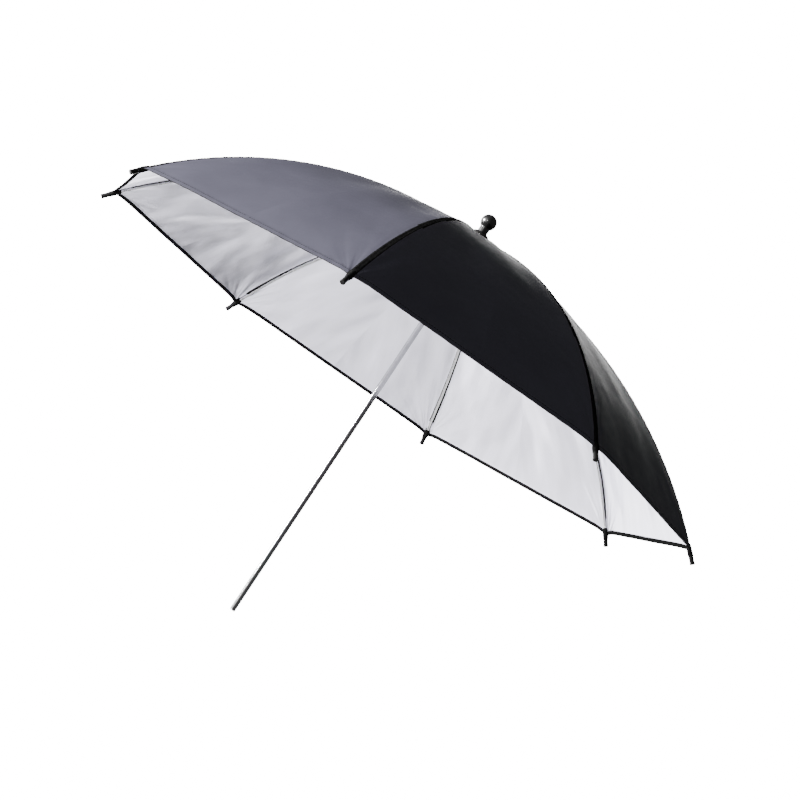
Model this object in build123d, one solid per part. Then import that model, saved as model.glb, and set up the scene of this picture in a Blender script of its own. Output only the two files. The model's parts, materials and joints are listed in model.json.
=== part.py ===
"""Folding photographic umbrella reflector: eight ribs and eight cloth gores on a thin tubular shaft.

Millimetres, +Z up along the shaft towards the crown. The origin is the centre of the shaft's open
lower end, where the tube slides into a light's umbrella clamp. Rib 1 lies in the +X half-plane and
the others follow every 45 degrees, anticlockwise from above. The umbrella is modelled open.
"""

import os
from math import asin, atan2, cos, degrees, hypot, radians, sin, sqrt

from build123d import *

# --- driving dimensions -------------------------------------------------------------------------
rib_count = 8
rib_step = 360 / rib_count

rim_radius = 413.1  # cloth corner at each rib, measured from the shaft's axis
crown_z = 524.0  # outer face of the cloth at the crown
arc_radius = 582.0  # every rib is one arc, seen from the side
arc_centre_x = -11.0
cloth_thickness = 0.5
cloth_gap = 0.85  # between the cloth and the steel under it, which is less beside the rib
seam_gap = 0.15  # each half gore stops this far from the plane where it meets the next one
crown_hole_radius = 4.5

shaft_radius = 3.5
shaft_wall = 0.6
shaft_top_z = 541.0
groove_low_z = 402.0  # rolled groove under the runner, where the plain grip length ends
groove_width = 1.2
groove_depth = 0.25
plug_head_radius = 3.3
plug_head_height = 1.4
plug_head_round = 0.9
plug_stem_length = 9.0

rib_width = 3.0
rib_height = 2.6
rib_wall = 0.45
blade_thickness = 1.0
eyelet_radius = 1.5
blade_length = 6.5  # flat end of a rib or stretcher, from the wire to where its channel starts
blade_overlap = 3.0  # how far the flat end runs on inside its channel
tang_width = 1.8
tang_length = 9.0
tang_root_angle = 1.5
tang_top_gap = 0.2

pivot_radius = 8.0  # both wire rings, on the crown notch and on the runner
wire_radius = 0.5
wire_clearance = 0.1
bracket_radius = 207.0  # where a stretcher is riveted to its rib

tooth_radius = 9.8
tooth_half_height = 2.2
slot_width = 1.5
notch_sleeve_radius = 5.2
notch_sleeve_length = 15.0
notch_ring_drop = 0.8  # middle of the teeth below the wire, so that the cloth lies over them
cross_pin_radius = 0.75
crown_pin_drop = 10.0  # below the crown's wire
stop_pin_gap = 1.2
stop_pin_overhang = 1.3

runner_bore_radius = 3.62
runner_sleeve_radius = 5.0
runner_length_below = 20.5
runner_length_above = 3.2
runner_lip_radius = 6.2
runner_lip_height = 2.0
window_gap = 0.1  # over the catch's nose, which holds the runner up
window_spare = 1.1
window_side_gap = 0.5

stretcher_inner_width = 3.4
stretcher_wall = 0.45
stretcher_height = 2.6
fork_length = 9.0
rivet_radius = 0.8
rivet_clearance = 0.08
rivet_head_radius = 1.3
rivet_head_height = 0.5
rivet_head_gap = 0.08

tip_radius = 2.8
tip_length = 12.7
tip_ring_radius = 3.1
tip_ring_length = 2.2
tip_ring_round = 0.7
tip_start_gap = 0.5  # from the cloth's edge to the tip's near end

catch_nose_radius = 5.7
catch_nose_height = 5.0
catch_thickness = 1.2
catch_strip = 0.9
catch_length = 26.0
catch_inside_runner = 8.5  # from the runner's lower end up to the top of the nose
catch_eye_radius = 1.3
catch_pin_radius = 0.6
catch_pin_inset = 0.15
catch_pin_clearance = 0.06
catch_slot_width = 1.8
catch_slot_below = 3.0
catch_slot_above = 1.0
catch_play = 0.25

ball_radius = 9.9
ball_z = 549.0
neck_radius = 6.3
neck_round = 2.2
cap_radius = 11.5
cap_rim_height = 4.0
cap_height = 10.0
cap_gap = 0.5  # above the cloth
cap_top_margin = 0.6
cap_crest_in = 1.7
cap_crest_drop = 1.4

# --- worked out from them -----------------------------------------------------------------------
arc_centre_z = crown_z - sqrt(arc_radius**2 - arc_centre_x**2)
rib_line_depth = cloth_thickness + cloth_gap + rib_height / 2
rib_line_radius = arc_radius - rib_line_depth


def arc_height(x, radius):
    """Height of the arc of that radius, at a distance x from the shaft's axis."""
    return arc_centre_z + sqrt(radius**2 - (x - arc_centre_x) ** 2)


def arc_angle(x, radius):
    """Angle in degrees, from straight up, at which that arc stands at a distance x from the axis."""
    return degrees(asin((x - arc_centre_x) / radius))


crown_pivot_z = arc_height(pivot_radius, rib_line_radius)
bracket_z = arc_height(bracket_radius, rib_line_radius)
stretcher_length = hypot(bracket_radius - pivot_radius, crown_pivot_z - bracket_z)
runner_pivot_z = 2 * bracket_z - crown_pivot_z
stretcher_slope = degrees(atan2(bracket_z - runner_pivot_z, bracket_radius - pivot_radius))
rim_angle = arc_angle(rim_radius, arc_radius)
runner_bottom_z = runner_pivot_z - runner_length_below
catch_top_z = runner_bottom_z + catch_inside_runner
catch_pin_z = catch_top_z - catch_length
stop_pin_z = runner_pivot_z + runner_length_above + stop_pin_gap
crown_pin_z = crown_pivot_z - crown_pin_drop

arc_axis = Axis((arc_centre_x, 0, arc_centre_z), (0, 1, 0))


# --- shared shapes ------------------------------------------------------------------------------
def tube(outer, inner, low, high):
    """Upright tube on the shaft's axis."""
    middle = (low + high) / 2
    return Pos(0, 0, middle) * (Cylinder(outer, high - low) - Cylinder(inner, high - low + 1))


def disc_across(x, z, radius, width):
    """Cylinder that lies along Y, centred on the rib's plane."""
    return Pos(x, 0, z) * Rot(90, 0, 0) * Cylinder(radius, width)


def bar_along_arc(width, low_radius, high_radius, start, end):
    """Rectangular bar that follows the rib's arc between two angles from straight up."""
    middle = (low_radius + high_radius) / 2
    section = Plane.YZ.offset(arc_centre_x) * Pos(0, arc_centre_z + middle) * Rectangle(
        width, high_radius - low_radius
    )
    bar = revolve(section, axis=arc_axis, revolution_arc=end - start)
    return bar.rotate(arc_axis, start)


def toothed_ring(centre_z):
    """Ring of teeth with one slot for each blade, bored for the wire that the blades hang on."""
    ring = tube(tooth_radius, shaft_radius, centre_z - tooth_half_height, centre_z + tooth_half_height)
    slot_depth = tooth_radius + 1
    slot = Pos((notch_sleeve_radius + slot_depth) / 2, 0, centre_z) * Box(
        slot_depth - notch_sleeve_radius, slot_width, 2 * tooth_half_height + 1
    )
    for index in range(rib_count):
        ring -= Rot(0, 0, index * rib_step) * slot
    return ring - wire_ring(centre_z)


def wire_ring(centre_z):
    return Pos(0, 0, centre_z) * Torus(pivot_radius, wire_radius)


def cross_pin(z, radius, length):
    return disc_across(0, z, radius, length)


# --- shaft --------------------------------------------------------------------------------------
def shaft_tube():
    shaft = tube(shaft_radius, shaft_radius - shaft_wall, 0, shaft_top_z)
    slot_low = catch_top_z - catch_nose_height - catch_slot_below
    slot_high = catch_top_z + catch_slot_above
    slot = Pos(shaft_radius, 0, (slot_low + slot_high) / 2) * Box(
        2 * shaft_wall + 2, catch_slot_width, slot_high - slot_low
    )
    shaft -= slot
    groove_high_z = groove_low_z + groove_width
    shaft -= tube(shaft_radius + 1, shaft_radius - groove_depth, groove_low_z, groove_high_z)
    shaft -= cross_pin(catch_pin_z, catch_pin_radius, 3 * shaft_radius)
    shaft -= cross_pin(stop_pin_z, cross_pin_radius, 3 * shaft_radius)
    return shaft - cross_pin(crown_pin_z, cross_pin_radius, 3 * shaft_radius)


def shaft_end_plug():
    inner = shaft_radius - shaft_wall
    head = Pos(0, 0, -plug_head_height / 2) * Cylinder(plug_head_radius, plug_head_height)
    head = fillet(head.edges().group_by(Axis.Z)[0], plug_head_round)
    stem = Pos(0, 0, plug_stem_length / 2) * Cylinder(inner, plug_stem_length)
    return head + stem


def runner_stop_pin():
    return cross_pin(stop_pin_z, cross_pin_radius, 2 * (shaft_radius + stop_pin_overhang))


# --- crown --------------------------------------------------------------------------------------
def top_notch():
    sleeve_low = crown_pivot_z - notch_sleeve_length
    sleeve = tube(notch_sleeve_radius, shaft_radius, sleeve_low, crown_pivot_z)
    notch = sleeve + toothed_ring(crown_pivot_z - notch_ring_drop)
    notch -= wire_ring(crown_pivot_z)
    return notch - cross_pin(crown_pin_z, cross_pin_radius, 3 * notch_sleeve_radius)


def crown_pin():
    return cross_pin(crown_pin_z, cross_pin_radius, 2 * notch_sleeve_radius)


def crown_cap():
    """Domed washer that presses the cloth down on the crown notch."""
    low = crown_z + cap_gap
    high = crown_z + cap_height
    shoulder = (cap_radius, low + cap_rim_height)
    rim = (neck_radius + cap_top_margin, high)
    crest = (cap_radius - cap_crest_in, high - cap_crest_drop)
    outline = [
        Polyline((shaft_radius, high), (shaft_radius, low), (cap_radius, low), shoulder),
        ThreePointArc(shoulder, crest, rim),
        Line(rim, (shaft_radius, high)),
    ]
    face = Plane.XZ * make_face(outline)
    return revolve(face, axis=Axis.Z)


def finial():
    """Ball and neck, moulded in one piece, with a blind socket for the shaft's top."""
    low = crown_z + cap_height
    waist = ball_z - sqrt(ball_radius**2 - neck_radius**2)
    neck = Pos(0, 0, (low + ball_z) / 2) * Cylinder(neck_radius, ball_z - low)
    body = neck + Pos(0, 0, ball_z) * Sphere(ball_radius)
    waist_edges = [edge for edge in body.edges() if abs(edge.center().Z - waist) < neck_round / 4]
    body = fillet(waist_edges, neck_round)
    socket = Pos(0, 0, (low + shaft_top_z) / 2) * Cylinder(shaft_radius, shaft_top_z - low)
    return body - socket


# --- runner and catch ---------------------------------------------------------------------------
def runner():
    top = runner_pivot_z + runner_length_above
    body = tube(runner_sleeve_radius, runner_bore_radius, runner_bottom_z, top)
    body += tube(runner_lip_radius, runner_bore_radius, runner_bottom_z, runner_bottom_z + runner_lip_height)
    bore = Pos(0, 0, runner_pivot_z) * Cylinder(runner_bore_radius, 4 * tooth_half_height)
    body += toothed_ring(runner_pivot_z) - bore
    window_high = catch_top_z + window_gap
    window_low = catch_top_z - catch_nose_height - window_spare
    window_width = catch_thickness + 2 * window_side_gap
    window = Pos(runner_sleeve_radius, 0, (window_low + window_high) / 2) * Box(
        runner_sleeve_radius, window_width, window_high - window_low
    )
    return body - window


def catch_spring():
    """Sprung strip inside the shaft; its nose stands through the runner's window and holds it up."""
    outer_x = shaft_radius - shaft_wall - catch_play
    inner_x = outer_x - catch_strip
    outline = Polyline(
        (inner_x, catch_pin_z),
        (inner_x, catch_top_z),
        (catch_nose_radius, catch_top_z),
        (outer_x, catch_top_z - catch_nose_height),
        (outer_x, catch_pin_z),
        close=True,
    )
    strip = extrude(Plane.XZ * make_face(outline), catch_thickness / 2, both=True)
    foot = Pos(outer_x / 2, 0, catch_pin_z) * Box(outer_x, catch_thickness, 2 * catch_eye_radius)
    eye = disc_across(0, catch_pin_z, catch_eye_radius, catch_thickness)
    hole = disc_across(0, catch_pin_z, catch_pin_radius + catch_pin_clearance, 2 * catch_thickness)
    return strip + foot + eye - hole


def catch_pin():
    return cross_pin(catch_pin_z, catch_pin_radius, 2 * (shaft_radius - catch_pin_inset))


# --- ribs ---------------------------------------------------------------------------------------
def rib():
    """Channel with its open side inwards, a flat eyelet at the crown and a tang inside its tip."""
    low = rib_line_radius - rib_height / 2
    high = rib_line_radius + rib_height / 2
    eyelet_angle = arc_angle(pivot_radius, rib_line_radius)
    channel_start = arc_angle(pivot_radius + blade_length, rib_line_radius)
    blade_end = arc_angle(pivot_radius + blade_length + blade_overlap, rib_line_radius)
    tang_end = rim_angle + degrees(tang_length / rib_line_radius)
    channel = bar_along_arc(rib_width, low, high, channel_start, rim_angle)
    hollow = bar_along_arc(
        rib_width - 2 * rib_wall, low - 1, high - rib_wall, channel_start - 1, rim_angle + 1
    )
    blade = bar_along_arc(blade_thickness, low, high, eyelet_angle, blade_end)
    tang_low = rib_line_radius - tang_width / 2
    tang_start = rim_angle - tang_root_angle
    tang = bar_along_arc(tang_width, tang_low, high - tang_top_gap, tang_start, tang_end)
    eyelet = disc_across(pivot_radius, crown_pivot_z, eyelet_radius, blade_thickness)
    body = (channel - hollow) + blade + eyelet + tang
    body -= disc_across(pivot_radius, crown_pivot_z, wire_radius + wire_clearance, 2 * rib_width)
    return body - disc_across(bracket_radius, bracket_z, rivet_radius, 2 * rib_width)


def rib_tip():
    """Turned black sleeve with a ring at its end, pushed over the rib's tang."""
    start = tip_start_gap
    barrel = Pos(0, 0, (start + tip_length) / 2) * Cylinder(tip_radius, tip_length - start)
    ring = Pos(0, 0, tip_length - tip_ring_length / 2) * Cylinder(tip_ring_radius, tip_ring_length)
    ring = fillet(ring.edges().filter_by(GeomType.CIRCLE), tip_ring_round)
    along_rib = Plane(
        origin=(
            arc_centre_x + rib_line_radius * sin(radians(rim_angle)),
            0,
            arc_centre_z + rib_line_radius * cos(radians(rim_angle)),
        ),
        x_dir=(0, 1, 0),
        z_dir=(cos(radians(rim_angle)), 0, -sin(radians(rim_angle))),
    )
    return along_rib * (barrel + ring) - rib()


def stretcher_rivet():
    head_start = stretcher_inner_width / 2 + stretcher_wall + rivet_head_gap
    length = 2 * (head_start + rivet_head_height)
    rivet = disc_across(bracket_radius, bracket_z, rivet_radius, length)
    for side in (-1, 1):
        offset = side * (head_start + rivet_head_height / 2)
        rivet += Pos(0, offset, 0) * disc_across(
            bracket_radius, bracket_z, rivet_head_radius, rivet_head_height
        )
    return rivet


def stretcher():
    """Channel with its open side away from the crown, forked over the rib and flat at the runner."""
    width = stretcher_inner_width + 2 * stretcher_wall
    length = stretcher_length
    start = blade_length
    height = stretcher_height
    channel = Pos((start + length) / 2, 0, 0) * Box(length - start, width, height)
    channel += disc_across(length, 0, height / 2, width)
    hollow = Pos((start + length) / 2, 0, -stretcher_wall) * Box(
        length - start + 2 * height, stretcher_inner_width, height
    )
    fork_gap = Pos(length, 0, 0) * Box(2 * fork_length, stretcher_inner_width, 2 * height)
    blade_end = start + blade_overlap
    blade = Pos(blade_end / 2, 0, 0) * Box(blade_end, blade_thickness, height)
    eyelet = disc_across(0, 0, eyelet_radius, blade_thickness)
    body = (channel - hollow - fork_gap) + blade + eyelet
    body -= disc_across(0, 0, wire_radius + wire_clearance, width)
    body -= disc_across(length, 0, rivet_radius + rivet_clearance, 2 * width)
    return Pos(pivot_radius, 0, runner_pivot_z) * Rot(0, -stretcher_slope, 0) * body


# --- canopy -------------------------------------------------------------------------------------
def half_gore():
    """Cloth from rib 1 to the middle of the next gore, pulled straight across towards rib 2."""
    middle_angle = radians(rib_step / 2)
    across = (-sin(middle_angle), cos(middle_angle), 0)
    near = crown_hole_radius / 4
    halfway = rim_radius / 2
    inner_radius = arc_radius - cloth_thickness
    inner_end = (
        rim_radius - cloth_thickness * sin(radians(rim_angle)),
        arc_height(rim_radius, arc_radius) - cloth_thickness * cos(radians(rim_angle)),
    )
    outer_start = (near, arc_height(near, arc_radius))
    outer_end = (rim_radius, arc_height(rim_radius, arc_radius))
    inner_start = (near, arc_height(near, inner_radius))
    outline = [
        ThreePointArc(outer_start, (halfway, arc_height(halfway, arc_radius)), outer_end),
        Line(outer_end, inner_end),
        ThreePointArc(inner_end, (halfway, arc_height(halfway, inner_radius)), inner_start),
        Line(inner_start, outer_start),
    ]
    band = extrude(Plane.XZ * make_face(outline), 0.5 * rim_radius, dir=across)
    apex_x = seam_gap * (1 + cos(middle_angle)) / sin(middle_angle)
    reach = 1.5 * rim_radius
    wedge_outline = Polyline(
        (apex_x, seam_gap),
        (reach, seam_gap),
        (apex_x + reach * cos(middle_angle), seam_gap + reach * sin(middle_angle)),
        close=True,
    )
    wedge = extrude(make_face(wedge_outline), 2 * crown_z)
    return (band & wedge) - Cylinder(crown_hole_radius, 4 * crown_z)


# --- all of them --------------------------------------------------------------------------------
def around(shape, index):
    """The shape turned from rib 1 to the rib of that number."""
    return Rot(0, 0, (index - 1) * rib_step) * shape


def all_parts():
    parts = {
        "shaft_tube": shaft_tube(),
        "shaft_end_plug": shaft_end_plug(),
        "runner_stop_pin": runner_stop_pin(),
        "top_notch": top_notch(),
        "top_notch_wire": wire_ring(crown_pivot_z),
        "crown_pin": crown_pin(),
        "crown_cap": crown_cap(),
        "finial": finial(),
        "runner": runner(),
        "runner_wire": wire_ring(runner_pivot_z),
        "catch_spring": catch_spring(),
        "catch_pin": catch_pin(),
    }
    repeated = {
        "rib": rib(),
        "rib_tip": rib_tip(),
        "stretcher": stretcher(),
        "stretcher_rivet": stretcher_rivet(),
    }
    left_half = half_gore()
    right_half = mirror(left_half, about=Plane.XZ)
    for index in range(1, rib_count + 1):
        for name, shape in repeated.items():
            parts[f"{name}_{index}"] = around(shape, index)
        parts[f"canopy_gore_{index}a"] = around(left_half, index)
        parts[f"canopy_gore_{index}b"] = around(right_half, index + 1)
    return parts


os.makedirs("parts", exist_ok=True)
for part_name, part_shape in all_parts().items():
    export_step(part_shape, f"parts/{part_name}.step")
print("stretcher length", round(stretcher_length, 3), "runner pivot z", round(runner_pivot_z, 3))
print("crown pivot z", round(crown_pivot_z, 3), "bracket z", round(bracket_z, 3))
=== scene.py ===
"""Looks of a folding photographic umbrella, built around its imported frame. Metres, +Z up the shaft."""

import json
import math

import bmesh
import bpy
from mathutils import Matrix, Vector, noise
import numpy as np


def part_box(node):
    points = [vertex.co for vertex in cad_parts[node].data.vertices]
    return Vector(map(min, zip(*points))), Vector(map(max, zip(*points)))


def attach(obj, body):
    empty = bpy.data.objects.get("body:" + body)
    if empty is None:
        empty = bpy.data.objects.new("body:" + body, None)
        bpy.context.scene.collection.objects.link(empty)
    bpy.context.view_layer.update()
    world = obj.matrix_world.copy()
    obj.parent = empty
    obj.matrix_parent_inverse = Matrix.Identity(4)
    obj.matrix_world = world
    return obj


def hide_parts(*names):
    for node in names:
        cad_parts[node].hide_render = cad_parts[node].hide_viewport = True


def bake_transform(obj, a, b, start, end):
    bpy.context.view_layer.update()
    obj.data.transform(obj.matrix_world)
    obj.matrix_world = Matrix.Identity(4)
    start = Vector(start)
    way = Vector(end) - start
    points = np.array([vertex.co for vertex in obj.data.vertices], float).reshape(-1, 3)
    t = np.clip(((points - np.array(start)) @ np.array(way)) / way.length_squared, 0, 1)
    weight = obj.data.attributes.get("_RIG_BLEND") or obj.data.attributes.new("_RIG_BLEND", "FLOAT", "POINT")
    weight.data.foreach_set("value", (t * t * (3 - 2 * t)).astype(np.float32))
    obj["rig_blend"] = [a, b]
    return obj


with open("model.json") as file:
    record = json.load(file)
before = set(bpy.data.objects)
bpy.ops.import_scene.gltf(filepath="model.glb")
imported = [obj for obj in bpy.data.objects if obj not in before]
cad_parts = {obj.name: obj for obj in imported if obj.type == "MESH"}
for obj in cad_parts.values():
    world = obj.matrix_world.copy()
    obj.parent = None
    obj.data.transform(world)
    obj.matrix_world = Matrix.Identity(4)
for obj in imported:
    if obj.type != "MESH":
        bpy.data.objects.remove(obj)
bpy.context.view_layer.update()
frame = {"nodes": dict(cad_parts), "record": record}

# --- sizes, from the frame or as the canopy was cut ---------------------------------------------
RIBS = 8
STEP = math.radians(360 / RIBS)
HALF = STEP / 2
MM = 0.001
shaft_way = Vector((0, 0, 1))

# The ribs' arc, seen in the plane of rib 1.
gore_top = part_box("canopy_gore_1a")[1]
rim_radius = gore_top.x
arc_radius = 582 * MM
arc_centre_x = -11 * MM
crown_hole = 4.5 * MM
arc_centre_z = gore_top.z - math.sqrt(arc_radius**2 - (crown_hole - arc_centre_x) ** 2)
rim_angle = math.asin((rim_radius - arc_centre_x) / arc_radius)

# The visible cloth starts a little further out than the crown hole, under the crown cap.
cloth_start = 8.4 * MM
crown_angle = math.asin((cloth_start - arc_centre_x) / arc_radius)
cut_length = arc_radius * (rim_angle - crown_angle)

# The cloth with its hem, and the felled seam over each rib.
cloth = 0.35 * MM  # thickness
hem_width = 7 * MM
hem_rise = 0.45 * MM
hem_turn_in = 6 * MM
# Outside, the seam strip is drawn in a darker matt black than the cloth: painted shade along the seam's
# rounded ridge, on a real felled seam.
seam_strip = 4.2 * MM
# Inside, a strip this wide beside each rib is drawn black on the silver: painted shade where the rib meets
# the cloth, on a real black seam allowance.
seam_shade_width = 4.0 * MM
seam_rise = 0.25 * MM
seam_round = 7.5 * MM
seam_start = 20 * MM
seam_full = 30 * MM
seam_edge = 0.8 * seam_strip  # from here on the seam's ridge runs out
hem_edge = 0.92 * hem_width
inner_share = 0.6  # how much of a ridge outside also shows inside

# The hem is drawn out to the rib's tip at its corners.
corner_flare = 4 * MM
corner_reach = 9 * MM

# Slack between the ribs. A grain is how fast a noise changes, per metre.
sag = 1 * MM
free_beyond = 26 * MM
slack_height = 0.8 * MM
slack_grain = 14
fine_slack = 0.4
fine_slack_grain = 31

# Creases that fan out from the rib's tip. A wander is in radians of the wave.
crease_height = 0.3 * MM
crease_count = 13  # radians of the wave in a radian of the fan
crease_wander = 2.2
crease_grain = 9
crease_reach = 70 * MM
crease_start = 2 * MM
crease_full = 18 * MM
first_crease = 0.14
last_crease = 0.5
past_creases = 0.95
fan_start = 4 * MM  # from the hem out to the point that the creases fan out from
fan_reach = 95 * MM
fan_full = 3 * MM
fan_power = 0.6  # sets the creases wider apart away from the seam
fan_fades = (0.25, 0.95)  # shares between which they fade out

# Puckers along the seam and the hem. Each step is the length of one radian of the wave.
pucker_height = 0.16 * MM
seam_pucker_step = 2.3 * MM
seam_pucker_reach = 7 * MM
seam_pucker_full = 1 * MM
seam_pucker_wander = 3
seam_pucker_grain = 60
hem_pucker_step = 2.6 * MM
hem_pucker_reach = 9 * MM
hem_pucker_wander = 4
hem_pucker_grain = 25
seed_step = 7.3  # keeps the gores' creases apart

# The mesh: more columns near the seam, and finer rows in a zone along the hem.
columns = 40
crowding = 1.4
rows = 96
hem_rows = 9
hem_zone = 1.4 * hem_width

# Stitches.
stitch_pitch = 3.4 * MM
stitch_length = 2.3 * MM
stitch_radius = 0.32 * MM
stitch_sides = 6
stitch_rise = 0.12 * MM
stitch_flatness = 0.7
stitch_profile = ((0, 0.45), (0.2, 0.9), (0.8, 0.9), (1, 0.45))  # place along it, and its size there
seam_stitch_in = 2.1 * MM
seam_stitch_start = 24 * MM
seam_stitch_end = 12 * MM
hem_stitch_in = 0.8 * hem_width
hem_stitch_start = 4.5 * MM
hem_stitch_end = 1.8 * MM

# Corner lashings. The rib's axis runs at rib_depth under the cloth's outside.
rib_depth = 2.65 * MM
pocket_sides = 20
lump_grain_round = 3  # radius of the ring's circle in the noise
lump_grain_along = 700  # per metre
thread_turns = 4
thread_steps = 18
thread_radius = 0.26 * MM
thread_sides = 6
thread_start = 0.5 * MM
thread_run = 2.0 * MM
thread_out = 3.1 * MM


# --- mesh helpers -------------------------------------------------------------------------------
def new_object(name, data):
    made = bpy.data.objects.new(name, data)
    bpy.context.scene.collection.objects.link(made)
    return made


def smooth(mesh, sharp_degrees=38):
    for polygon in mesh.polygons:
        polygon.use_smooth = True
    mesh.set_sharp_from_angle(angle=math.radians(sharp_degrees))


def step_up(low, high, x):
    """0 below low, 1 above high and a smooth rise between."""
    t = min(1.0, max(0.0, (x - low) / (high - low)))
    return t * t * (3 - 2 * t)


def join_rings(first, second):
    """Corners of the faces between two closed rings of points."""
    sides = len(first)
    for k in range(sides):
        after = (k + 1) % sides
        yield [first[k], first[after], second[after], second[k]]


# --- materials ----------------------------------------------------------------------------------
class Nodes:
    """A node tree, with short calls to add and join nodes."""

    def __init__(self, tree):
        self.tree = tree

    def add(self, kind, **inputs):
        node = self.tree.nodes.new(kind)
        for key, value in inputs.items():
            node.inputs[key.replace("_", " ")].default_value = value
        return node

    def join(self, source, target):
        self.tree.links.new(source, target)

    def both(self, operation, first, second):
        node = self.add("ShaderNodeMath")
        node.operation = operation
        self.join(first, node.inputs[0])
        self.join(second, node.inputs[1])
        return node.outputs["Value"]

    def spread(self, source, low, high, start=0.25, end=0.75, shape="LINEAR"):
        """From low to high, as the source goes from start to end."""
        node = self.add("ShaderNodeMapRange", From_Min=start, From_Max=end, To_Min=low, To_Max=high)
        node.interpolation_type = shape
        self.join(source, node.inputs["Value"])
        return node.outputs["Result"]


class Finish(Nodes):
    """A material and its node tree."""

    def __init__(self, name):
        self.material = bpy.data.materials.new(name)
        self.material.use_nodes = True
        super().__init__(self.material.node_tree)
        self.shader = self.tree.nodes["Principled BSDF"]

    def set(self, **values):
        for key, value in values.items():
            self.shader.inputs[key.replace("_", " ")].default_value = value

    def drive(self, key, source):
        self.join(source, self.shader.inputs[key])

    def scaled(self, place, scale):
        node = self.add("ShaderNodeMapping", Scale=scale)
        self.join(place, node.inputs["Vector"])
        return node.outputs["Vector"]

    def grain(self, place, scale, detail, roughness):
        node = self.add("ShaderNodeTexNoise", Scale=scale, Detail=detail, Roughness=roughness)
        self.join(place, node.inputs["Vector"])
        return node.outputs["Fac"]

    def ramp(self, source, low, high, start=0.3, end=0.7):
        node = self.add("ShaderNodeValToRGB")
        for element, position, colour in zip(node.color_ramp.elements, (start, end), (low, high)):
            element.position = position
            element.color = colour
        self.join(source, node.inputs["Fac"])
        return node.outputs["Color"]

    def bump(self, height, strength, distance, under=None):
        node = self.add("ShaderNodeBump", Strength=strength, Distance=distance)
        self.join(height, node.inputs["Height"])
        if under is not None:
            self.join(under, node.inputs["Normal"])
        return node.outputs["Normal"]


def grey(value, tint=(1, 1)):
    """A grey, with its green and blue scaled by the tint."""
    green, blue = tint
    return (value, value * green, value * blue, 1)


def uv_place(nodes, layer):
    place = nodes.add("ShaderNodeUVMap")
    place.uv_map = layer
    return place.outputs["UV"]


def cloth_noise(nodes, scale, detail=4.0, stretch=(1, 1, 1)):
    """Noise on the flat cut cloth, in metres, across and along the gore."""
    place = nodes.scaled(uv_place(nodes, "cut"), stretch)
    return nodes.grain(place, scale, detail, roughness=0.55)


def object_noise(nodes, scale, detail=3.0, stretch=(1, 1, 1)):
    place = nodes.scaled(nodes.add("ShaderNodeTexCoord").outputs["Object"], stretch)
    return nodes.grain(place, scale, detail, roughness=0.5)


def weave(nodes, radians_per_metre=2200):
    """Height of a faint grid in the cloth, one wave across and one along, each about 2.9 mm long."""
    radians_per_unit = 20  # what Blender's wave texture turns through at scale 1
    place = nodes.scaled(uv_place(nodes, "cut"), (1, 1, 1))
    waves = []
    for direction in ("X", "Y"):
        wave = nodes.add(
            "ShaderNodeTexWave",
            Scale=radians_per_metre / radians_per_unit,
            Distortion=0.6,
            Detail_Scale=2.0,
        )
        wave.bands_direction = direction
        nodes.join(place, wave.inputs["Vector"])
        waves.append(wave.outputs["Fac"])
    return nodes.both("MULTIPLY", *waves)


def tension_folds(nodes, scale=5.5, along=0.3):
    """Height of the long soft creases that run out from each rib's tip."""
    fan = uv_place(nodes, "fan")
    creases = nodes.grain(nodes.scaled(fan, (1, along, 1)), scale, detail=1.0, roughness=0.4)
    parts = nodes.add("ShaderNodeSeparateXYZ")
    nodes.join(fan, parts.inputs["Vector"])
    return nodes.both("MULTIPLY", creases, parts.outputs["Y"])


def black_cloth():
    """Outside of the canopy: tight black nylon with a soft sheen."""
    bluish = (0.97, 1.3)
    nodes = Finish("black_nylon")
    patches = cloth_noise(nodes, scale=9.0)
    worn = cloth_noise(nodes, scale=60.0)
    slubs = cloth_noise(nodes, scale=260.0, detail=2.0, stretch=(1, 0.25, 1))
    nodes.drive("Base Color", nodes.ramp(patches, grey(0.028, bluish), grey(0.035, bluish)))
    nodes.drive("Roughness", nodes.spread(worn, low=0.45, high=0.55))
    relief = nodes.bump(tension_folds(nodes), strength=0.2, distance=0.004)
    relief = nodes.bump(slubs, strength=0.08, distance=0.0004, under=relief)
    relief = nodes.bump(weave(nodes), strength=0.12, distance=0.0002, under=relief)
    nodes.drive("Normal", relief)
    nodes.set(Specular_IOR_Level=0.08, Coat_Weight=0.035, Coat_Roughness=0.35)
    return nodes.material


def silver_cloth():
    """Inside of the canopy: silver coating on the cloth, neither mirror nor matt."""
    cool = (0.985, 1.12)
    nodes = Finish("silver_coating")
    streaks = cloth_noise(nodes, scale=22.0, detail=5.0, stretch=(3.0, 0.5, 1))
    worn = cloth_noise(nodes, scale=45.0)
    waves = cloth_noise(nodes, scale=13.0, detail=1.0, stretch=(1.5, 0.7, 1))
    ripples = cloth_noise(nodes, scale=40.0, detail=2.0, stretch=(2.5, 0.6, 1))
    nodes.drive("Base Color", nodes.ramp(streaks, grey(0.76, cool), grey(0.87, cool)))
    nodes.drive("Roughness", nodes.spread(worn, low=0.3, high=0.38))
    relief = nodes.bump(waves, strength=0.8, distance=0.012)
    relief = nodes.bump(tension_folds(nodes), strength=0.35, distance=0.01, under=relief)
    relief = nodes.bump(ripples, strength=0.15, distance=0.001, under=relief)
    relief = nodes.bump(weave(nodes), strength=0.2, distance=0.0002, under=relief)
    nodes.drive("Normal", relief)
    nodes.set(Metallic=0.88)
    return nodes.material


def edge_cloth(name, tone):
    """Turned hem, thread and lashings: matt black. On the seam strips outside and beside the ribs inside,
    the same black is painted shade over the real seam.
    """
    nodes = Finish(name)
    patches = object_noise(nodes, scale=400.0)
    fibres = object_noise(nodes, scale=1500.0)
    nodes.drive("Base Color", nodes.ramp(patches, grey(tone), grey(tone * 2.0)))
    nodes.drive("Normal", nodes.bump(fibres, strength=0.4, distance=0.0003))
    nodes.set(Roughness=0.9, Specular_IOR_Level=0)
    return nodes.material


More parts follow.
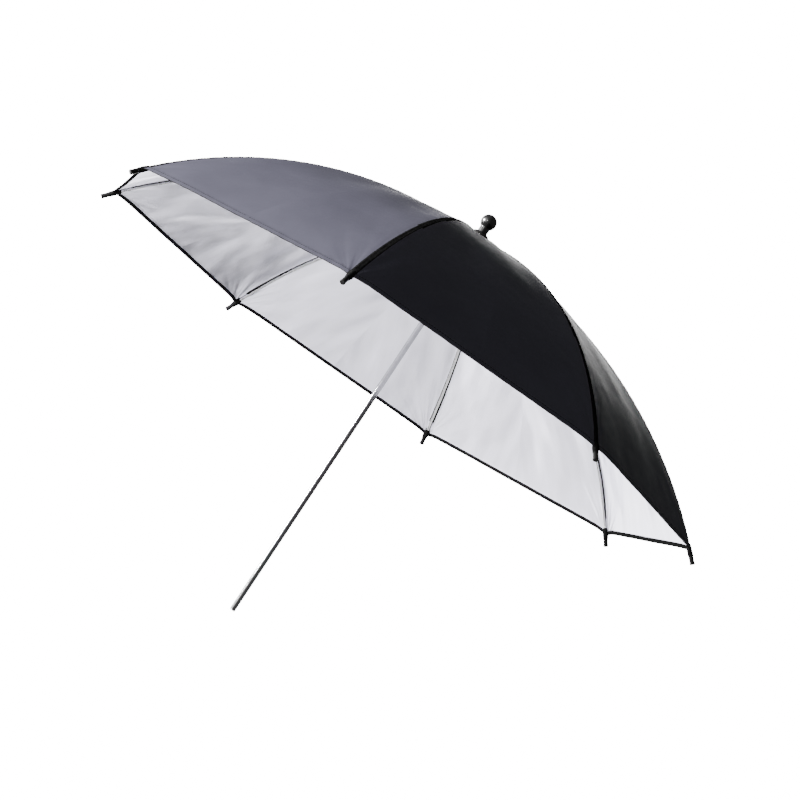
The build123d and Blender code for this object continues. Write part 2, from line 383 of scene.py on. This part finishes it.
def metal(name, tone, smoothest, dullest, stretch=(1, 1, 1), lines=0.05):
    """Plated steel with duller patches and fine marks, drawn out where the stretch is small."""
    cool = (1, 1.02)
    darker = 0.86
    nodes = Finish(name)
    drawn = object_noise(nodes, scale=900.0, detail=2.0, stretch=stretch)
    patches = object_noise(nodes, scale=35.0, detail=4.0)
    nodes.drive("Base Color", nodes.ramp(patches, grey(tone * darker, cool), grey(tone, cool)))
    nodes.drive("Roughness", nodes.spread(patches, smoothest, dullest))
    nodes.drive("Normal", nodes.bump(drawn, strength=lines, distance=0.0002))
    nodes.set(Metallic=1.0)
    return nodes.material


def black_plastic(name, smoothest, dullest, shine):
    """Moulded plastic with faint handling marks."""
    nodes = Finish(name)
    marks = object_noise(nodes, scale=140.0, detail=5.0)
    waves = object_noise(nodes, scale=90.0)
    nodes.drive("Base Color", nodes.ramp(marks, grey(0.005), grey(0.01)))
    nodes.drive("Roughness", nodes.spread(marks, smoothest, dullest))
    nodes.drive("Normal", nodes.bump(waves, strength=0.06, distance=0.0005))
    nodes.set(Specular_IOR_Level=shine)
    return nodes.material


outside = black_cloth()
inside = silver_cloth()
# The hem's own black, also used as painted shade on the seam strips outside and beside the ribs inside.
hem_and_shade_black = edge_cloth("hem_black_and_painted_shade", tone=0.004)
thread = edge_cloth("black_thread", tone=0.005)
cloth_materials = (outside, inside, hem_and_shade_black, thread)
OUTSIDE, INSIDE, HEM_AND_SHADE, THREAD = range(len(cloth_materials))

along_shaft = (1, 1, 0.02)
coarse_marks = (0.1, 0.1, 0.1)
glossy = black_plastic("glossy_black_plastic", smoothest=0.12, dullest=0.26, shine=0.6)
tip_plastic = black_plastic("worn_black_plastic", smoothest=0.3, dullest=0.45, shine=0.05)
finishes = {
    "chromed_steel": metal("bright_chrome", 0.4, smoothest=0.05, dullest=0.13, stretch=along_shaft),
    "plated_ribs": metal("plated_ribs", 0.66, 0.22, 0.34, stretch=coarse_marks, lines=0.1),
    "plated_fittings": metal("plated_fittings", 0.6, smoothest=0.2, dullest=0.34, lines=0.08),
    "plated_pins": metal("plated_pins", 0.55, smoothest=0.2, dullest=0.3),
    "black_plastic": glossy,
    "canopy_cloth": outside,
}


def finish_cad_nodes():
    """Each CAD node takes the finish of its material slot, and the rib tips a duller plastic."""
    slots = {part["node"]: part["material_slot"] for part in frame["record"]["subparts"]}
    for name, node in frame["nodes"].items():
        is_tip = name.startswith("rib_tip")
        node.data.materials.clear()
        node.data.materials.append(tip_plastic if is_tip else finishes[slots[name]])
        smooth(node.data, sharp_degrees=30)


# --- camera, light and floor --------------------------------------------------------------------
def make_camera():
    """Low on the +X +Y side, looking up a little, rolled so that the shaft leans to the right."""
    camera = new_object("camera", bpy.data.cameras.new("camera"))
    camera.data.lens = 104.4
    camera.data.sensor_width = 36
    camera.location = (1.4666, 2.2843, -0.0179)
    looks = Vector((-0.545, -0.8297, 0.1209))
    roll = Matrix.Rotation(math.radians(33.44), 4, "Z")
    turned = looks.to_track_quat("-Z", "Y").to_matrix().to_4x4() @ roll
    camera.rotation_euler = turned.to_euler()
    bpy.context.scene.camera = camera
    return camera


def make_room(right, up, back):
    """A world that the camera sees as plain white.

    What it lights and mirrors is a bright cove on the far side, which fades out towards +Z, a soft
    window on the left and a dim rest.
    """
    seen_strength = 17.0
    cove_strength = 5
    window_strength = 2.4
    dim_strength = 0.15
    world = bpy.data.worlds.new("white_cove")
    bpy.context.scene.world = world
    world.use_nodes = True
    nodes = Nodes(world.node_tree)
    background = world.node_tree.nodes["Background"]
    background.inputs["Color"].default_value = (1, 1, 1, 1)
    way = nodes.add("ShaderNodeTexCoord")

    def glow(direction, start, end, low, high):
        """Brightness that rises smoothly as a ray turns towards the direction."""
        facing = nodes.add("ShaderNodeVectorMath")
        facing.operation = "DOT_PRODUCT"
        facing.inputs[1].default_value = direction.normalized()
        nodes.join(way.outputs["Generated"], facing.inputs[0])
        return nodes.spread(facing.outputs["Value"], low, high, start, end, "SMOOTHSTEP")

    to_cove = -0.5 * right - 0.05 * up - 0.86 * back
    to_window = -0.85 * right + 0.4 * up + 0.35 * back
    cove = glow(to_cove, start=0.55, end=0.85, low=0, high=cove_strength)
    below_top = glow(-shaft_way, start=-0.44, end=-0.3, low=0, high=1)
    window = glow(to_window, start=0.6, end=0.9, low=dim_strength, high=window_strength)
    room = nodes.both("ADD", nodes.both("MULTIPLY", cove, below_top), window)
    seen = nodes.add("ShaderNodeLightPath")
    strength = nodes.add("ShaderNodeMapRange", To_Max=seen_strength)
    nodes.join(room, strength.inputs["To Min"])
    nodes.join(seen.outputs["Is Camera Ray"], strength.inputs["Value"])
    nodes.join(strength.outputs["Result"], background.inputs["Strength"])


def make_lamps(right, up, back):
    """The key high on the left, two weak lamps on the camera's side and a fill on the far side."""
    middle = 0.4 * shaft_way
    distance = 3

    def lamp(name, sideways, upward, nearer, size, power):
        way = (sideways * right + upward * up + nearer * back).normalized()
        light = new_object(name, bpy.data.lights.new(name, "AREA"))
        light.data.shape = "DISK"
        light.data.size = size
        light.data.energy = power
        light.location = middle + distance * way
        aim = middle - light.location
        light.rotation_euler = aim.to_track_quat("-Z", "Y").to_euler()

    lamp("key", sideways=-0.81, upward=0.57, nearer=0.15, size=0.6, power=980)
    lamp("low_left", sideways=-0.85, upward=-0.35, nearer=0.4, size=0.8, power=60)
    lamp("finial_glint", sideways=-0.3, upward=0.5, nearer=0.8, size=0.4, power=12)
    lamp("far_side_fill", sideways=0.2, upward=0.12, nearer=-1.0, size=1.2, power=27)


def make_floor():
    """Plain pale disc, well below the shaft's end."""
    radius = 0.9
    depth = 0.5
    mesh = bpy.data.meshes.new("floor")
    shape = bmesh.new()
    bmesh.ops.create_circle(shape, cap_ends=True, segments=96, radius=radius)
    shape.to_mesh(mesh)
    shape.free()
    floor = new_object("floor", mesh)
    floor.location = -depth * shaft_way
    nodes = Finish("pale_floor")
    nodes.set(Base_Color=grey(0.6), Roughness=0.8)
    mesh.materials.append(nodes.material)


# --- canopy cloth -------------------------------------------------------------------------------
middle_out = Vector((math.cos(HALF), math.sin(HALF), 0))
across = Vector((-math.sin(HALF), math.cos(HALF), 0))


def out_of_rib(angle):
    """Outward direction of rib 1 at this angle of its arc."""
    return Vector((math.sin(angle), 0, math.cos(angle)))


def arc_place(angle, depth=0.0):
    """Place on rib 1's arc at this angle, or at a depth under it."""
    radius = arc_radius - depth
    x = arc_centre_x + radius * math.sin(angle)
    z = arc_centre_z + radius * math.cos(angle)
    return Vector((x, 0, z))


class HalfGore:
    """One half panel of cloth, drawn beside rib 1 and then turned and mirrored to its place.

    reach is the distance along the cloth from the crown. share is the place across it, from 0 at
    the rib's seam to 1 at the middle of the gore.
    """

    def __init__(self, index, half):
        self.name = f"canopy_gore_{index}{half}"
        self.piece_name = f"cloth_gore_{index}{half}"
        self.rib = index if half == "a" else index % RIBS + 1
        self.hand = 1 if half == "a" else -1
        turn = Matrix.Rotation(STEP * (self.rib - 1), 4, "Z")
        flip = Matrix.Scale(self.hand, 4, (0, 1, 0))
        self.place = turn @ flip
        self.seed = seed_step * index
        self.points, self.faces, self.kinds = [], [], []
        self.weights, self.cuts, self.fans = [], [], []

    def angle(self, reach):
        return crown_angle + reach / arc_radius

    def width(self, reach):
        return (arc_centre_x + arc_radius * math.sin(self.angle(reach))) * math.sin(HALF)

    def length(self, share):
        """How far the cloth reaches at share: the hem is drawn out to the rib's tip at its corner."""
        from_seam = share * self.width(cut_length)
        return cut_length - corner_flare * (1 - math.exp(-from_seam / corner_reach))

    def normal(self, reach, share):
        """Outward direction of the cloth, which the two halves share where they meet on the rib."""
        angle = self.angle(reach)
        flat = middle_out * math.sin(angle) + shaft_way * (math.cos(HALF) * math.cos(angle))
        flatness = min(1.0, share * self.width(reach) / seam_round)
        return out_of_rib(angle).lerp(flat.normalized(), flatness).normalized()

    def creases(self, reach, from_seam, place):
        """Height of the short creases that fan out from the rib's tip."""
        to_tip = math.hypot(cut_length - reach, from_seam)
        fan = math.atan2(from_seam, cut_length - reach + fan_start)
        wander = crease_wander * noise.noise(place * crease_grain)
        wave = math.sin(crease_count * fan + wander + self.seed)
        near_tip = math.exp(-to_tip / crease_reach) * step_up(crease_start, crease_full, to_tip)
        begun = step_up(0, first_crease, fan)
        ended = step_up(last_crease, past_creases, fan)
        return crease_height * near_tip * wave * begun * (1 - ended)

    def seam_puckers(self, reach, from_seam):
        along = Vector((reach * seam_pucker_grain, self.seed, 0))
        wander = seam_pucker_wander * noise.noise(along)
        wave = math.sin(reach / seam_pucker_step + wander)
        near_seam = math.exp(-((from_seam / seam_pucker_reach) ** 2))
        return pucker_height * wave * near_seam * step_up(0, seam_pucker_full, from_seam)

    def hem_puckers(self, from_hem, from_seam, place):
        wander = hem_pucker_wander * noise.noise(place * hem_pucker_grain)
        wave = math.sin(from_seam / hem_pucker_step + wander)
        return pucker_height * wave * math.exp(-((from_hem / hem_pucker_reach) ** 2))

    def lift(self, reach, share, place):
        """How far the cloth stands proud of the straight line between the ribs.

        It fades out towards the middle of the gore, where the two halves lie together when folded.
        """
        from_seam = share * self.width(reach)
        from_hem = self.length(share) - reach
        free = step_up(0, free_beyond, from_seam)
        lengthwise = math.sin(math.pi * min(1.0, reach / cut_length))
        sagging = -sag * lengthwise * math.sin(math.pi * share) ** 2
        coarse = noise.noise(place * slack_grain)
        fine = noise.noise(place * fine_slack_grain)
        slack = slack_height * free * (1 - share**6) * (coarse + fine_slack * fine)
        creases = self.creases(reach, from_seam, place)
        seam = self.seam_puckers(reach, from_seam)
        hem = self.hem_puckers(from_hem, from_seam, place) * free * (1 - share**8)
        return sagging + slack + creases + seam + hem

    def spot(self, reach, share):
        """Place on the outside of the plain cloth, beside rib 1."""
        angle = self.angle(reach)
        from_seam = share * self.width(reach)
        flat = arc_place(angle) + across * from_seam
        slope = math.tan(HALF) * math.sin(angle)
        settled = slope * max(0.0, seam_round - from_seam) ** 2 / (2 * seam_round)
        lift = self.lift(reach, share, self.place @ flat)
        return flat + self.normal(reach, share) * lift - out_of_rib(angle) * settled

    def ridge(self, reach, share):
        """Extra thickness of the felled seam and of the turned hem, on the outside."""
        from_seam = share * self.width(reach)
        from_hem = self.length(share) - reach
        seam = seam_rise * (1 - step_up(seam_edge, seam_strip, from_seam))
        hem = hem_rise * (1 - step_up(hem_edge, hem_width, from_hem))
        return max(seam * step_up(0, seam_full, reach), hem)

    def surface(self, reach, share, side):
        """How far a surface, with its ridges, lies out of the spot: side is 1 outside, -1 inside."""
        rise = self.ridge(reach, share)
        return rise if side > 0 else -cloth - inner_share * rise

    def add_point(self, point, reach, share):
        """Keep a point with its share, its place on the cut cloth and its place in the tip's fan."""
        self.points.append(self.place @ point)
        self.weights.append(share)
        from_seam = share * self.width(reach)
        self.cuts.append((self.hand * from_seam, reach))
        to_hem = max(0.0, cut_length - reach) + fan_start
        spread = math.atan2(from_seam, to_hem)
        fade = math.exp(-math.hypot(to_hem, from_seam) / fan_reach) * (1 - step_up(*fan_fades, share))
        self.fans.append((spread**fan_power + self.seed, fade * step_up(0, fan_full, from_seam)))
        return len(self.points) - 1

    def add_face(self, corners, kind):
        self.faces.append(corners if self.hand > 0 else corners[::-1])
        self.kinds.append(kind)

    def row_places(self, share):
        last = self.length(share)
        start = last - hem_zone
        coarse = [start * i / rows for i in range(rows)]
        fine = [start + (last - start) * i / hem_rows for i in range(hem_rows + 1)]
        return coarse + fine

    def cloth_shell(self):
        """Outer and inner surface of the panel, closed along its four edges."""
        shares = [(j / columns) ** crowding for j in range(columns + 1)]
        outer, inner = [], []
        for share in shares:
            for sheet, side in ((outer, 1), (inner, -1)):
                line = []
                for reach in self.row_places(share):
                    out = self.normal(reach, share) * self.surface(reach, share, side)
                    line.append(self.add_point(self.spot(reach, share) + out, reach, share))
                sheet.append(line)
        middle_places = self.row_places(shares[-1])
        count = len(middle_places)
        fine_step = hem_zone / hem_rows
        for j in range(columns):
            near_outer, far_outer = outer[j], outer[j + 1]
            near_inner, far_inner = inner[j], inner[j + 1]
            for i in range(count - 1):
                after = i + 1
                reach = middle_places[i]
                from_seam = shares[j + 1] * self.width(reach)
                from_hem = (count - 1 - i) * fine_step
                # Outer faces on the seam strip take the darker black: painted shade along the ridge.
                on_seam_shade_strip = reach > seam_start and from_seam < seam_strip
                # Inner faces in the hem's turn-in are real black cloth. The faces beside the rib are painted
                # shade.
                hem_turn_or_rib_shade = from_hem < hem_turn_in + 0.1 * fine_step or from_seam < seam_shade_width
                outer_face = [near_outer[i], near_outer[after], far_outer[after], far_outer[i]]
                inner_face = [near_inner[i], far_inner[i], far_inner[after], near_inner[after]]
                self.add_face(outer_face, HEM_AND_SHADE if on_seam_shade_strip else OUTSIDE)
                self.add_face(inner_face, HEM_AND_SHADE if hem_turn_or_rib_shade else INSIDE)
            self.add_face([near_outer[-1], near_inner[-1], far_inner[-1], far_outer[-1]], HEM_AND_SHADE)
            self.add_face([near_outer[0], far_outer[0], far_inner[0], near_inner[0]], HEM_AND_SHADE)
        for i in range(count - 1):
            after = i + 1
            on_rib = [outer[0][i], inner[0][i], inner[0][after], outer[0][after]]
            in_middle = [outer[-1][i], outer[-1][after], inner[-1][after], inner[-1][i]]
            self.add_face(on_rib, OUTSIDE)
            self.add_face(in_middle, OUTSIDE)

    def stitch(self, reach, share, half_reach, half_share, side):
        """One short raised stitch, half_reach or half_share to each side of its middle."""
        out = self.normal(reach, share)
        lifted = out * self.surface(reach, share, side)
        start_mark = (reach - half_reach, share - half_share)
        end_mark = (reach + half_reach, share + half_share)
        start = self.spot(*start_mark) + lifted
        end = self.spot(*end_mark) + lifted
        sideways = (end - start).normalized().cross(out)
        end_size = stitch_profile[0][1]
        rings = []
        for along, size in stitch_profile:
            centre = start.lerp(end, along) + out * side * (stitch_rise * (size - end_size))
            mark = [first + (last - first) * along for first, last in zip(start_mark, end_mark)]
            ring = []
            for k in range(stitch_sides):
                angle = 2 * math.pi * k / stitch_sides
                offset = sideways * math.cos(angle) + out * (stitch_flatness * math.sin(angle))
                ring.append(self.add_point(centre + offset * (stitch_radius * size), *mark))
            rings.append(ring)
        for first, second in zip(rings, rings[1:]):
            for corners in join_rings(first, second):
                self.add_face(corners, THREAD)
        self.add_face(rings[0][::-1], THREAD)
        self.add_face(rings[-1], THREAD)

    def seam_stitches(self):
        """Topstitch beside the rib's seam."""
        reach = seam_stitch_start
        while reach < cut_length - seam_stitch_end:
            self.stitch(reach, seam_stitch_in / self.width(reach), stitch_length / 2, 0, 1)
            reach += stitch_pitch

    def hem_stitches(self):
        """Two faces of the lockstitch along the hem."""
        hem_across = self.width(cut_length)
        from_seam = hem_stitch_start
        while from_seam < hem_across - hem_stitch_end:
            share = from_seam / hem_across
            reach = self.length(share) - hem_stitch_in
            half_share = stitch_length / 2 / self.width(reach)
            for side in (1, -1):
                self.stitch(reach, share, 0, half_share, side)
            from_seam += stitch_pitch

    def make(self):
        self.cloth_shell()
        self.seam_stitches()
        self.hem_stitches()
        mesh = bpy.data.meshes.new(self.name)
        mesh.from_pydata(self.points, [], self.faces)
        for material in cloth_materials:
            mesh.materials.append(material)
        mesh.polygons.foreach_set("material_index", self.kinds)
        cut = mesh.uv_layers.new(name="cut")
        fan = mesh.uv_layers.new(name="fan")
        for loop in mesh.loops:
            cut.data[loop.index].uv = self.cuts[loop.vertex_index]
            fan.data[loop.index].uv = self.fans[loop.vertex_index]
        smooth(mesh)
        piece = new_object(self.piece_name, mesh)
        start = self.place @ self.spot(cut_length / 2, 0)
        end = self.place @ self.spot(cut_length / 2, 1)
        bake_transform(piece, f"rib_{self.rib}", self.name, start, end)
        mesh.attributes["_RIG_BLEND"].data.foreach_set("value", self.weights)
        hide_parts(self.name)


# --- corners, where the cloth is lashed to the rib's tip ----------------------------------------
class CornerLashing:
    """Small black pocket sewn round the rib's end, with turns of thread at its mouth."""

    # Rings of the pocket, in mm: along the rib from its end, half height, half width, lumps.
    profile = (
        (-13.0, 0.6, 0.9, 0.0),
        (-12.2, 1.8, 2.5, 0.06),
        (-10.0, 2.7, 3.6, 0.12),
        (-7.0, 3.0, 4.1, 0.16),
        (-3.5, 3.2, 4.2, 0.16),
        (-1.0, 3.2, 3.8, 0.12),
        (0.6, 3.1, 3.3, 0.07),
        (2.4, 3.05, 3.15, 0.04),
        (3.2, 2.9, 2.95, 0.0),
    )
    forward = Vector((math.cos(rim_angle), 0, -math.sin(rim_angle)))
    out = out_of_rib(rim_angle)
    sideways = Vector((0, 1, 0))
    origin = arc_place(rim_angle, rib_depth)

    def __init__(self, index):
        self.index = index
        self.turn = Matrix.Rotation(STEP * (index - 1), 4, "Z")
        self.shape = bmesh.new()

    def add_point(self, place):
        return self.shape.verts.new(self.turn @ place)

    def pocket_ring(self, along_mm, tall_mm, wide_mm, lumps):
        along, tall, wide = along_mm * MM, tall_mm * MM, wide_mm * MM
        ring = []
        for k in range(pocket_sides):
            angle = 2 * math.pi * k / pocket_sides
            lump_x = lump_grain_round * math.cos(angle)
            lump_y = lump_grain_round * math.sin(angle)
            lump_z = along * lump_grain_along + self.index
            lump = 1 + lumps * noise.noise(Vector((lump_x, lump_y, lump_z)))
            offset = self.sideways * (wide * math.cos(angle)) + self.out * (tall * math.sin(angle))
            ring.append(self.add_point(self.origin + self.forward * along + offset * lump))
        return ring

    def thread_ring(self, step, steps):
        angle = 2 * math.pi * step / thread_steps
        along = thread_start + thread_run * step / steps
        radial = self.sideways * math.cos(angle) + self.out * math.sin(angle)
        centre = self.origin + self.forward * along + radial * thread_out
        ring = []
        for k in range(thread_sides):
            around = 2 * math.pi * k / thread_sides
            offset = radial * (thread_radius * math.cos(around))
            offset = offset + self.forward * (thread_radius * math.sin(around))
            ring.append(self.add_point(centre + offset))
        return ring

    def close(self, rings):
        """Faces between the rings, and a face over each end."""
        for first, second in zip(rings, rings[1:]):
            for corners in join_rings(first, second):
                self.shape.faces.new(corners)
        self.shape.faces.new(rings[0][::-1])
        self.shape.faces.new(rings[-1])

    def make(self):
        self.close([self.pocket_ring(*row) for row in self.profile])
        steps = thread_turns * thread_steps
        self.close([self.thread_ring(step, steps) for step in range(steps + 1)])
        bmesh.ops.recalc_face_normals(self.shape, faces=self.shape.faces)
        name = f"corner_lashing_{self.index}"
        mesh = bpy.data.meshes.new(name)
        self.shape.to_mesh(mesh)
        self.shape.free()
        mesh.materials.append(thread)
        smooth(mesh, sharp_degrees=60)
        piece = new_object(name, mesh)
        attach(piece, f"rib_{self.index}")


# --- build --------------------------------------------------------------------------------------
camera = make_camera()
bpy.context.view_layer.update()
right, up, back = camera.matrix_world.to_3x3().col
make_room(right, up, back)
make_lamps(right, up, back)
make_floor()
finish_cad_nodes()
for number in range(1, RIBS + 1):
    HalfGore(number, "a").make()
    HalfGore(number, "b").make()
    CornerLashing(number).make()
